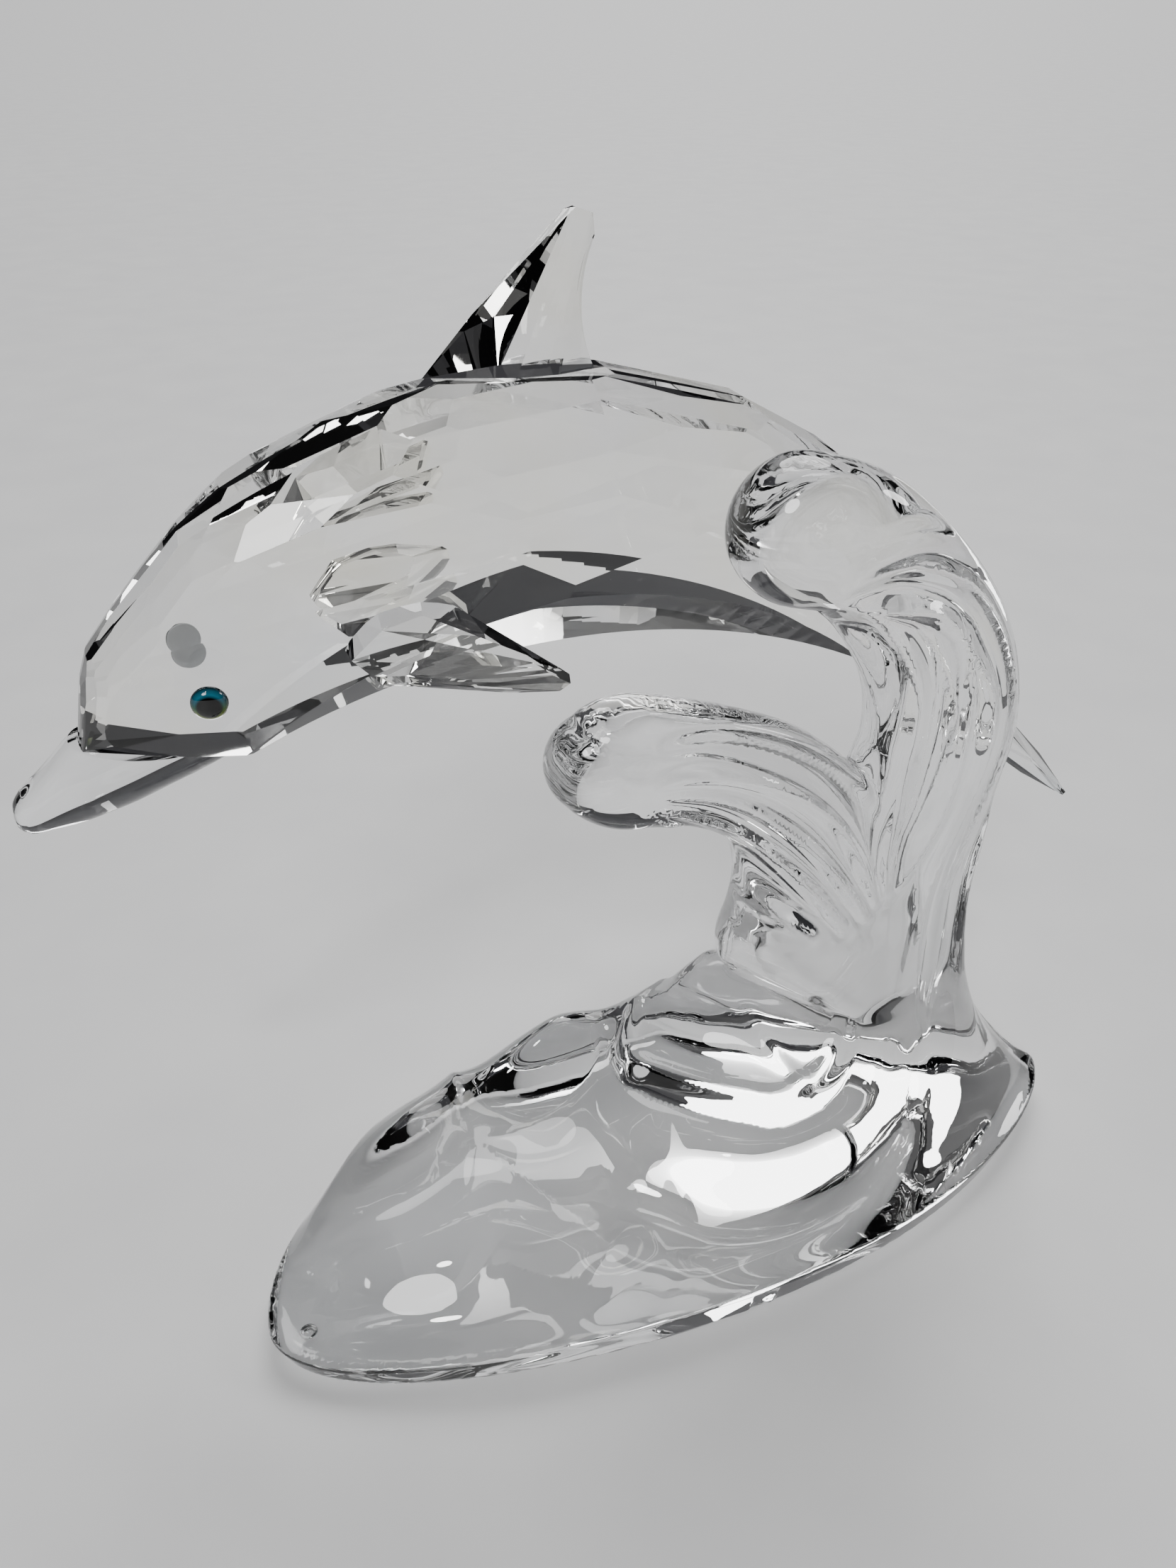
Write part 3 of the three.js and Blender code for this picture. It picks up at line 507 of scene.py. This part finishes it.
def surface_net(low, high, step, field):
    """Closed quad surface of field = 0 on a regular grid: one point in each crossed cell."""
    axes = [np.arange(low[i], high[i] + step, step) for i in range(3)]
    values = field(*axes)
    inside = values > 0
    nx, ny, nz = values.shape
    total = np.zeros((nx - 1, ny - 1, nz - 1, 3), np.float32)
    count = np.zeros((nx - 1, ny - 1, nz - 1), np.int32)
    crossings = []
    for axis in range(3):
        ahead = [slice(None)] * 3
        here = [slice(None)] * 3
        ahead[axis] = slice(1, None)
        here[axis] = slice(None, -1)
        a, b = values[tuple(here)], values[tuple(ahead)]
        cross = inside[tuple(here)] != inside[tuple(ahead)]
        at = np.argwhere(cross)
        t = a[cross] / (a[cross] - b[cross])
        spot = at.astype(float)
        spot[:, axis] += t
        others = [k for k in range(3) if k != axis]
        for du in (0, 1):
            for dv in (0, 1):
                cell = at.copy()
                cell[:, others[0]] -= du
                cell[:, others[1]] -= dv
                ok = ((cell >= 0) & (cell < np.array(count.shape))).all(1)
                c = tuple(cell[ok].T)
                np.add.at(total, c, spot[ok])
                np.add.at(count, c, 1)
        crossings.append((axis, others, at, inside[tuple(here)][cross]))
    used = count > 0
    number = np.full(count.shape, -1)
    number[used] = np.arange(used.sum())
    points = total[used] / count[used][:, None] * step + np.array([ax[0] for ax in axes])
    quads = []
    for axis, (u, v), at, out in crossings:
        corners = []
        for du, dv in ((0, 0), (1, 0), (1, 1), (0, 1)):
            cell = at.copy()
            cell[:, u] -= du
            cell[:, v] -= dv
            corners.append(number[tuple(cell.T)])
        quad = np.stack(corners, 1)
        flip = out if axis != 1 else ~out
        quads.append(np.where(flip[:, None], quad, quad[:, ::-1]))
    return points, np.concatenate(quads)


def mesh_object(name, points, faces, normals=None):
    mesh = bpy.data.meshes.new(name)
    mesh.from_pydata([], [], [])
    mesh.vertices.add(len(points))
    mesh.vertices.foreach_set("co", np.asarray(points, np.float32).ravel())
    sides = faces.shape[1]
    mesh.loops.add(faces.size)
    mesh.loops.foreach_set("vertex_index", faces.astype(np.int32).ravel())
    mesh.polygons.add(len(faces))
    mesh.polygons.foreach_set("loop_start", np.arange(0, faces.size, sides, dtype=np.int32))
    mesh.update(calc_edges=True)
    mesh.validate()
    mesh.polygons.foreach_set("use_smooth", np.ones(len(mesh.polygons), bool))
    if normals is not None:
        mesh.normals_split_custom_set_from_vertices(normals)
    obj = bpy.data.objects.new(name, mesh)
    bpy.context.scene.collection.objects.link(obj)
    return obj


# The net's points settle onto the surface in short moves; shading normals are read a little wider
SETTLE_STEPS = 3
LONGEST_MOVE = 0.4 * GRID
NORMAL_REACH = 0.2


def build_wave():
    def on_grid(xs, ys, zs):
        near = near_map(*np.meshgrid(xs, zs, indexing="ij"))[:, None, :]
        far = far_map(*np.meshgrid(xs, zs, indexing="ij"))[:, None, :]
        height = height_map(*np.meshgrid(xs, ys, indexing="ij"))[:, :, None]
        share = share_map(*np.meshgrid(xs, ys, indexing="ij"))[:, :, None]
        return wave_field(
            near, far, height, share, xs[:, None, None], ys[None, :, None], zs[None, None, :]
        )

    points, quads = surface_net(LOW, HIGH, GRID, on_grid)
    for _ in range(SETTLE_STEPS):
        slope = gradient_at(points)
        size = np.maximum((slope ** 2).sum(1), 0.05)
        move = -(field_at(points) / size)[:, None] * slope
        length = np.linalg.norm(move, axis=1, keepdims=True)
        points = points + move * np.minimum(1, LONGEST_MOVE / np.maximum(length, 1e-9))
    slope = gradient_at(points, NORMAL_REACH)
    normals = -slope / np.maximum(np.linalg.norm(slope, axis=1, keepdims=True), 1e-9)
    points[:, 2] = np.maximum(points[:, 2], 0)
    return mesh_object("crystal_wave", (points + PLACE) * MM, quads, normals)


# Materials
def noise(nodes, links, coordinates, scale, detail=3.0):
    node = nodes.new("ShaderNodeTexNoise")
    node.inputs["Scale"].default_value = scale
    node.inputs["Detail"].default_value = detail
    links.new(coordinates, node.inputs["Vector"])
    return node.outputs["Fac"]


def ramp(nodes, links, factor, stops):
    node = nodes.new("ShaderNodeValToRGB")
    while len(node.color_ramp.elements) < len(stops):
        node.color_ramp.elements.new(0.5)
    for element, (position, color) in zip(node.color_ramp.elements, stops):
        element.position = position
        element.color = (*color, 1)
    links.new(factor, node.inputs["Fac"])
    return node.outputs["Color"]


def spread(nodes, links, factor, low, high):
    node = nodes.new("ShaderNodeMapRange")
    node.inputs["To Min"].default_value = low
    node.inputs["To Max"].default_value = high
    links.new(factor, node.inputs["Value"])
    return node.outputs["Result"]


# Crystal: refraction, and how fine its tint and its handling haze are
CRYSTAL_IOR = 1.545
TINT_SCALE = 30
HAZE_SCALE = 700
MOST_HAZE = 0.018


def crystal(name, ripple, wave_scale, tints):
    """Clear lead crystal: polished, with a faint ripple from the mould and fine handling haze."""
    material = bpy.data.materials.new(name)
    material.use_nodes = True
    nodes, links = material.node_tree.nodes, material.node_tree.links
    shader = nodes["Principled BSDF"]
    shader.inputs["Transmission Weight"].default_value = 1.0
    shader.inputs["IOR"].default_value = CRYSTAL_IOR
    coordinates = nodes.new("ShaderNodeTexCoord").outputs["Object"]
    # Random tint; on the cut pieces its colours are painted dispersion light
    tint = noise(nodes, links, coordinates, TINT_SCALE)
    links.new(ramp(nodes, links, tint, tints), shader.inputs["Base Color"])
    haze = noise(nodes, links, coordinates, HAZE_SCALE, 5)
    links.new(spread(nodes, links, haze, 0.0, MOST_HAZE), shader.inputs["Roughness"])
    bump = nodes.new("ShaderNodeBump")
    bump.inputs["Strength"].default_value = ripple
    bump.inputs["Distance"].default_value = 0.0004
    links.new(noise(nodes, links, coordinates, wave_scale, 2), bump.inputs["Height"])
    links.new(bump.outputs["Normal"], shader.inputs["Normal"])
    return material


def dress(obj, material):
    obj.data.materials.clear()
    obj.data.materials.append(material)


# The cut pieces get faint spectral tints in random patches: painted dispersion colour standing in for the
# rainbow light their facets throw; the cast wave stays almost white
clear_tints = [(0.35, (0.985, 0.993, 1.0)), (0.65, (1.0, 1.0, 1.0))]
painted_dispersion_tints = [(0.30, (0.93, 0.97, 1.0)), (0.42, (1.0, 1.0, 1.0)), (0.52, (1.0, 0.99, 0.93)),
                  (0.60, (1.0, 1.0, 1.0)), (0.70, (1.0, 0.95, 0.97))]
cut_crystal = crystal("cut_crystal", 0.01, 60, painted_dispersion_tints)
cast_crystal = crystal("cast_crystal", 0.06, 90, clear_tints)

wave = build_wave()
dress(wave, cast_crystal)
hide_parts("wave_base")
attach(wave, "root")

# A small bubble sealed in the tip of the base: its skin faces inwards, because the glass is outside it
BUBBLE = np.array([-57.0, -4.0, 2.5])
BUBBLE_RADIUS = 1.05
BUBBLE_STRETCH = np.array([1.15, 0.95, 0.95])


def build_bubble():
    around, rows = 32, 16
    turn = np.linspace(0, 2 * math.pi, around, endpoint=False)
    tilt = np.linspace(0, math.pi, rows + 1)
    flat = np.sin(tilt)[:, None]
    points = np.stack([flat * np.cos(turn), flat * np.sin(turn), np.cos(tilt)[:, None] + 0 * turn], -1)
    index = np.arange(around * (rows + 1)).reshape(rows + 1, around)
    ahead = np.roll(index, -1, axis=1)
    quads = np.stack([index[:-1], ahead[:-1], ahead[1:], index[1:]], -1).reshape(-1, 4)
    skin = points.reshape(-1, 3) * BUBBLE_RADIUS * BUBBLE_STRETCH + BUBBLE
    bubble = mesh_object("sealed_bubble", (skin + PLACE) * MM, quads)
    shape = bmesh.new()
    shape.from_mesh(bubble.data)
    bmesh.ops.remove_doubles(shape, verts=shape.verts, dist=1e-7)
    bmesh.ops.recalc_face_normals(shape, faces=shape.faces)
    bmesh.ops.reverse_faces(shape, faces=shape.faces)
    shape.to_mesh(bubble.data)
    shape.free()
    return bubble


bubble = build_bubble()
dress(bubble, cast_crystal)
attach(bubble, "root")

# Fine polished edges on the cut pieces
BEVEL = 0.00022
LEAST_EDGE_DEG = 4
for name in ("dolphin_body", "dorsal_fin", "flipper_left", "flipper_right", "tail_fluke"):
    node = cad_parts[name]
    dress(node, cut_crystal)
    bevel = node.modifiers.new("polished edges", "BEVEL")
    bevel.width = BEVEL
    bevel.segments = 1
    bevel.limit_method = "ANGLE"
    bevel.angle_limit = math.radians(LEAST_EDGE_DEG)
    bevel.harden_normals = False


# Beak: one smooth moulded drop with a fine mouth line, cut flat where it meets the head
BODY_LENGTH = 122.0
BODY_WIDTH = 25.0
BEAK_LENGTH = 27.0
BEAK_WIDTH = 12.0
MID_Y = FLANK_Y + BODY_WIDTH / 2
CROSS_X = 0.257 * WAVE_HEIGHT
CROSS_Z = 0.789 * WAVE_HEIGHT
HEAD_TURN = math.radians(8)
HEAD_SPINE = [(-0.783, -0.053), (-0.738, -0.024), (-0.676, 0.008), (-0.582, 0.050)]
BEAK = [
    (0.000, 0.000, 0.00, 0.000),
    (0.010, 0.004, 0.18, 0.060),
    (0.055, 0.018, 0.38, 0.108),
    (0.150, 0.060, 0.56, 0.140),
    (0.320, 0.150, 0.86, 0.200),
    (0.540, 0.235, 1.00, 0.220),
    (0.760, 0.290, 0.94, 0.200),
    (0.920, 0.310, 0.80, 0.160),
    (1.000, 0.320, 0.55, 0.110),
]

# From the front of the head to the beak's tip, then the mouth line's tilt, width and depth
TIP_SHIFT = np.array([0.41, 0.37])
MOUTH_DROP = math.radians(8)
MOUTH_WIDTH = 0.10
MOUTH_DEPTH = 0.05


def build_beak():
    along, around = 110, 96
    front = curve(HEAD_SPINE, 16)[1] * BODY_LENGTH + np.array([CROSS_X, CROSS_Z])
    tip = front - TIP_SHIFT * BEAK_LENGTH
    path = curve([b[:2] for b in BEAK], along * 10)
    girth = curve([b[2:] for b in BEAK], along * 10)
    picks = (np.linspace(0.0, 1, along) ** 1.5 * (along * 10 - 1)).astype(int)
    turn = np.linspace(0, 2 * math.pi, around, endpoint=False)
    mouth = np.zeros(around)
    for side in (-MOUTH_DROP, math.pi + MOUTH_DROP):
        away = np.angle(np.exp(1j * (turn - side)))
        mouth += np.exp(-(away / MOUTH_WIDTH) ** 2)
    points = []
    for i in picks:
        narrow = 1 - MOUTH_DEPTH * mouth * smooth(0.03, 0.12, path[i, 0])
        points.append(np.stack([
            np.full(around, tip[0] + path[i, 0] * BEAK_LENGTH),
            MID_Y - np.cos(turn) * narrow * girth[i, 0] * BEAK_WIDTH / 2,
            tip[1] + (path[i, 1] + np.sin(turn) * narrow * girth[i, 1]) * BEAK_LENGTH,
        ], 1))
    index = np.arange(along * around).reshape(along, around)
    ahead = np.roll(index, -1, axis=1)
    quads = np.stack([index[:-1], ahead[:-1], ahead[1:], index[1:]], -1).reshape(-1, 4)
    beak = mesh_object("beak_drop", (np.concatenate(points) + PLACE) * MM, quads)
    low, high = (Vector(corner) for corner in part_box("beak"))
    shape = bmesh.new()
    shape.from_mesh(beak.data)
    bmesh.ops.remove_doubles(shape, verts=shape.verts, dist=1e-6)
    seat = Vector((math.sin(HEAD_TURN), 0, math.cos(HEAD_TURN)))
    top = max(seat.dot(v.co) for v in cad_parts["beak"].data.vertices)
    bmesh.ops.bisect_plane(
        shape, geom=shape.verts[:] + shape.edges[:] + shape.faces[:],
        plane_co=seat * top, plane_no=seat, clear_outer=True,
    )
    rim = [e for e in shape.edges if e.is_boundary]
    for e in rim:
        e.smooth = False
    bmesh.ops.contextual_create(shape, geom=rim)
    bmesh.ops.recalc_face_normals(shape, faces=shape.faces)
    for v in shape.verts:
        v.co = Vector(max(l, min(h, c)) for c, l, h in zip(v.co, low, high))
    shape.to_mesh(beak.data)
    shape.free()
    return beak


# Eyes: glossy beads with a dark pupil in a blue and green ring, and a pale glued back
def flat_seat(name):
    """Middle, outward direction and radius of a bead's flat underside."""
    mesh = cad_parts[name].data
    groups = {}
    for face in mesh.polygons:
        key = tuple(round(c, 2) for c in face.normal)
        groups.setdefault(key, []).append(face)
    flat = max(groups.values(), key=lambda faces: sum(f.area for f in faces))
    spots = [mesh.vertices[i].co for f in flat for i in f.vertices]
    middle = sum(spots, Vector()) / len(spots)
    ring = max((v - middle).length for v in spots)
    rim = [v for v in spots if (v - middle).length > 0.9 * ring]
    middle = sum(rim, Vector()) / len(rim)
    return middle, -flat[0].normal, ring


def build_eye(name):
    middle, out, radius = flat_seat(name)
    around, rows = 64, 20
    ring = np.linspace(0, 2 * math.pi, around, endpoint=False)
    profile = [(0.0, 0.0), (0.5, 0.0), (0.9, 0.0), (0.985, 0.03)]
    for k in range(rows + 1):
        a = k / rows * math.pi / 2
        profile.append((math.cos(a) * 0.995, 0.12 + 0.61 * math.sin(a)))
    points = np.concatenate([
        np.stack([np.cos(ring) * r, np.sin(ring) * r, np.full(around, h)], 1) for r, h in profile
    ]) * radius
    index = np.arange(len(profile) * around).reshape(-1, around)
    ahead = np.roll(index, -1, axis=1)
    quads = np.stack([index[:-1], ahead[:-1], ahead[1:], index[1:]], -1).reshape(-1, 4)
    side = name.split("_")[1]
    eye = mesh_object("eye_bead_" + side, points, quads)
    shape = bmesh.new()
    shape.from_mesh(eye.data)
    bmesh.ops.remove_doubles(shape, verts=shape.verts, dist=1e-7)
    bmesh.ops.recalc_face_normals(shape, faces=shape.faces)
    shape.to_mesh(eye.data)
    shape.free()
    up = Vector((0, 0, 1))
    across = up.cross(out).normalized()
    level = out.cross(across)
    eye.matrix_world = Matrix((
        (across.x, level.x, out.x, middle.x),
        (across.y, level.y, out.y, middle.y),
        (across.z, level.z, out.z, middle.z),
        (0, 0, 0, 1),
    ))
    return eye


# Colour of a bead's glued back
FOIL = (0.62, 0.64, 0.66, 1)


def eye_glass(radius):
    material = bpy.data.materials.new("eye_glass")
    material.use_nodes = True
    nodes, links = material.node_tree.nodes, material.node_tree.links
    shader = nodes["Principled BSDF"]
    shader.inputs["Roughness"].default_value = 0.06
    shader.inputs["Specular IOR Level"].default_value = 0.15
    shader.inputs["Coat Weight"].default_value = 0.7
    shader.inputs["Coat Roughness"].default_value = 0.02
    split = nodes.new("ShaderNodeSeparateXYZ")
    links.new(nodes.new("ShaderNodeTexCoord").outputs["Object"], split.inputs[0])
    flat = nodes.new("ShaderNodeCombineXYZ")
    links.new(split.outputs["X"], flat.inputs["X"])
    links.new(split.outputs["Y"], flat.inputs["Y"])
    away = nodes.new("ShaderNodeVectorMath")
    away.operation = "LENGTH"
    links.new(flat.outputs[0], away.inputs[0])
    height = nodes.new("ShaderNodeMapRange")
    height.inputs["From Min"].default_value = -0.5 * radius
    height.inputs["From Max"].default_value = 0.6 * radius
    links.new(split.outputs["Y"], height.inputs["Value"])
    iris = ramp(nodes, links, height.outputs["Result"], [
        (0.0, (0.14, 0.19, 0.02)), (0.45, (0.01, 0.08, 0.04)), (0.75, (0.005, 0.09, 0.13)),
        (1.0, (0.02, 0.15, 0.22)),
    ])
    share = nodes.new("ShaderNodeMapRange")
    share.inputs["From Max"].default_value = radius
    links.new(away.outputs["Value"], share.inputs["Value"])
    ring = ramp(nodes, links, share.outputs["Result"], [
        (0.60, (0, 0, 0)), (0.76, (0.9, 0.9, 0.9)), (0.92, (0.5, 0.5, 0.5)), (1.0, (0.02, 0.02, 0.02)),
    ])
    blend = nodes.new("ShaderNodeMix")
    blend.data_type = "RGBA"
    blend.blend_type = "MULTIPLY"
    blend.inputs["Factor"].default_value = 1.0
    links.new(iris, blend.inputs["A"])
    links.new(ring, blend.inputs["B"])
    back = nodes.new("ShaderNodeMapRange")
    back.inputs["From Min"].default_value = 0.04 * radius
    back.inputs["From Max"].default_value = 0.06 * radius
    links.new(split.outputs["Z"], back.inputs["Value"])
    foil = nodes.new("ShaderNodeMix")
    foil.data_type = "RGBA"
    foil.inputs["A"].default_value = FOIL
    links.new(back.outputs["Result"], foil.inputs["Factor"])
    links.new(blend.outputs["Result"], foil.inputs["B"])
    links.new(foil.outputs["Result"], shader.inputs["Base Color"])
    return material


beak = build_beak()
dress(beak, cast_crystal)
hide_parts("beak")
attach(beak, "root")

bead = eye_glass(flat_seat("eye_left")[2])
for name in ("eye_left", "eye_right"):
    eye = build_eye(name)
    dress(eye, bead)
    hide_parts(name)
    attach(eye, "root")


# Stage: a pale plain floor, a dim studio world, broad soft lights and one smaller light for sparkle
FLOOR_HALF = 30.0
FLOOR_DROP = 0.0001


def stage_floor():
    material = bpy.data.materials.new("pale_floor")
    material.use_nodes = True
    nodes, links = material.node_tree.nodes, material.node_tree.links
    shader = nodes["Principled BSDF"]
    shader.inputs["Roughness"].default_value = 0.55
    coordinates = nodes.new("ShaderNodeTexCoord").outputs["Object"]
    fine = noise(nodes, links, coordinates, 40)
    links.new(
        ramp(nodes, links, fine, [(0.3, (0.60, 0.60, 0.605)), (0.7, (0.64, 0.64, 0.64))]),
        shader.inputs["Base Color"],
    )
    mesh = bpy.data.meshes.new("floor")
    corners = [(a * FLOOR_HALF, b * FLOOR_HALF, 0) for a, b in ((-1, -1), (1, -1), (1, 1), (-1, 1))]
    mesh.from_pydata(corners, [], [(0, 1, 2, 3)])
    floor = bpy.data.objects.new("floor", mesh)
    floor.location.z = -FLOOR_DROP
    bpy.context.scene.collection.objects.link(floor)
    mesh.materials.append(material)


def soft_light(name, toward, spread_deg, strength):
    """A broad, distant soft light that reaches the whole floor alike."""
    light = bpy.data.lights.new(name, "SUN")
    light.angle = math.radians(spread_deg)
    light.energy = strength
    obj = bpy.data.objects.new(name, light)
    obj.location = Vector(toward)
    obj.rotation_euler = Vector(toward).to_track_quat("Z", "Y").to_euler()
    bpy.context.scene.collection.objects.link(obj)


def studio_world():
    world = bpy.data.worlds.new("studio")
    world.use_nodes = True
    nodes, links = world.node_tree.nodes, world.node_tree.links
    direction = nodes.new("ShaderNodeTexCoord").outputs["Generated"]
    split = nodes.new("ShaderNodeSeparateXYZ")
    links.new(direction, split.inputs[0])
    sky = ramp(nodes, links, spread(nodes, links, split.outputs["Z"], 0.5, 1.0),
               [(0.5, (0.02, 0.02, 0.022)), (0.6, (0.05, 0.05, 0.055)), (0.8, (0.03, 0.03, 0.033)),
                (1.0, (0.12, 0.12, 0.12))])
    links.new(sky, nodes["Background"].inputs["Color"])
    bpy.context.scene.world = world


stage_floor()
studio_world()
soft_light("key_light", (-0.7, -1.0, 1.1), 22, 2.0)
soft_light("back_light", (0.5, 1.0, 1.2), 42, 2.6)
soft_light("side_light", (1.0, -0.1, 0.45), 14, 0.8)
soft_light("spark_light", (-0.35, -0.6, 1.2), 5, 0.4)

# Camera: the photograph's height, heading and angle of view
PITCH = math.radians(33)
HEADING = math.radians(20.5)
CAMERA_SPOT = np.array([-56.4, -106.0, 150.0])
LENS = 28.16
SENSOR_WIDTH = 36
camera = bpy.data.cameras.new("photo_camera")
camera.lens = LENS
camera.sensor_width = SENSOR_WIDTH
camera.clip_start = 0.005
photo_camera = bpy.data.objects.new("photo_camera", camera)
photo_camera.location = (CAMERA_SPOT + PLACE) * MM
photo_camera.rotation_euler = (math.pi / 2 - PITCH, 0, -HEADING)
bpy.context.scene.collection.objects.link(photo_camera)
bpy.context.scene.camera = photo_camera
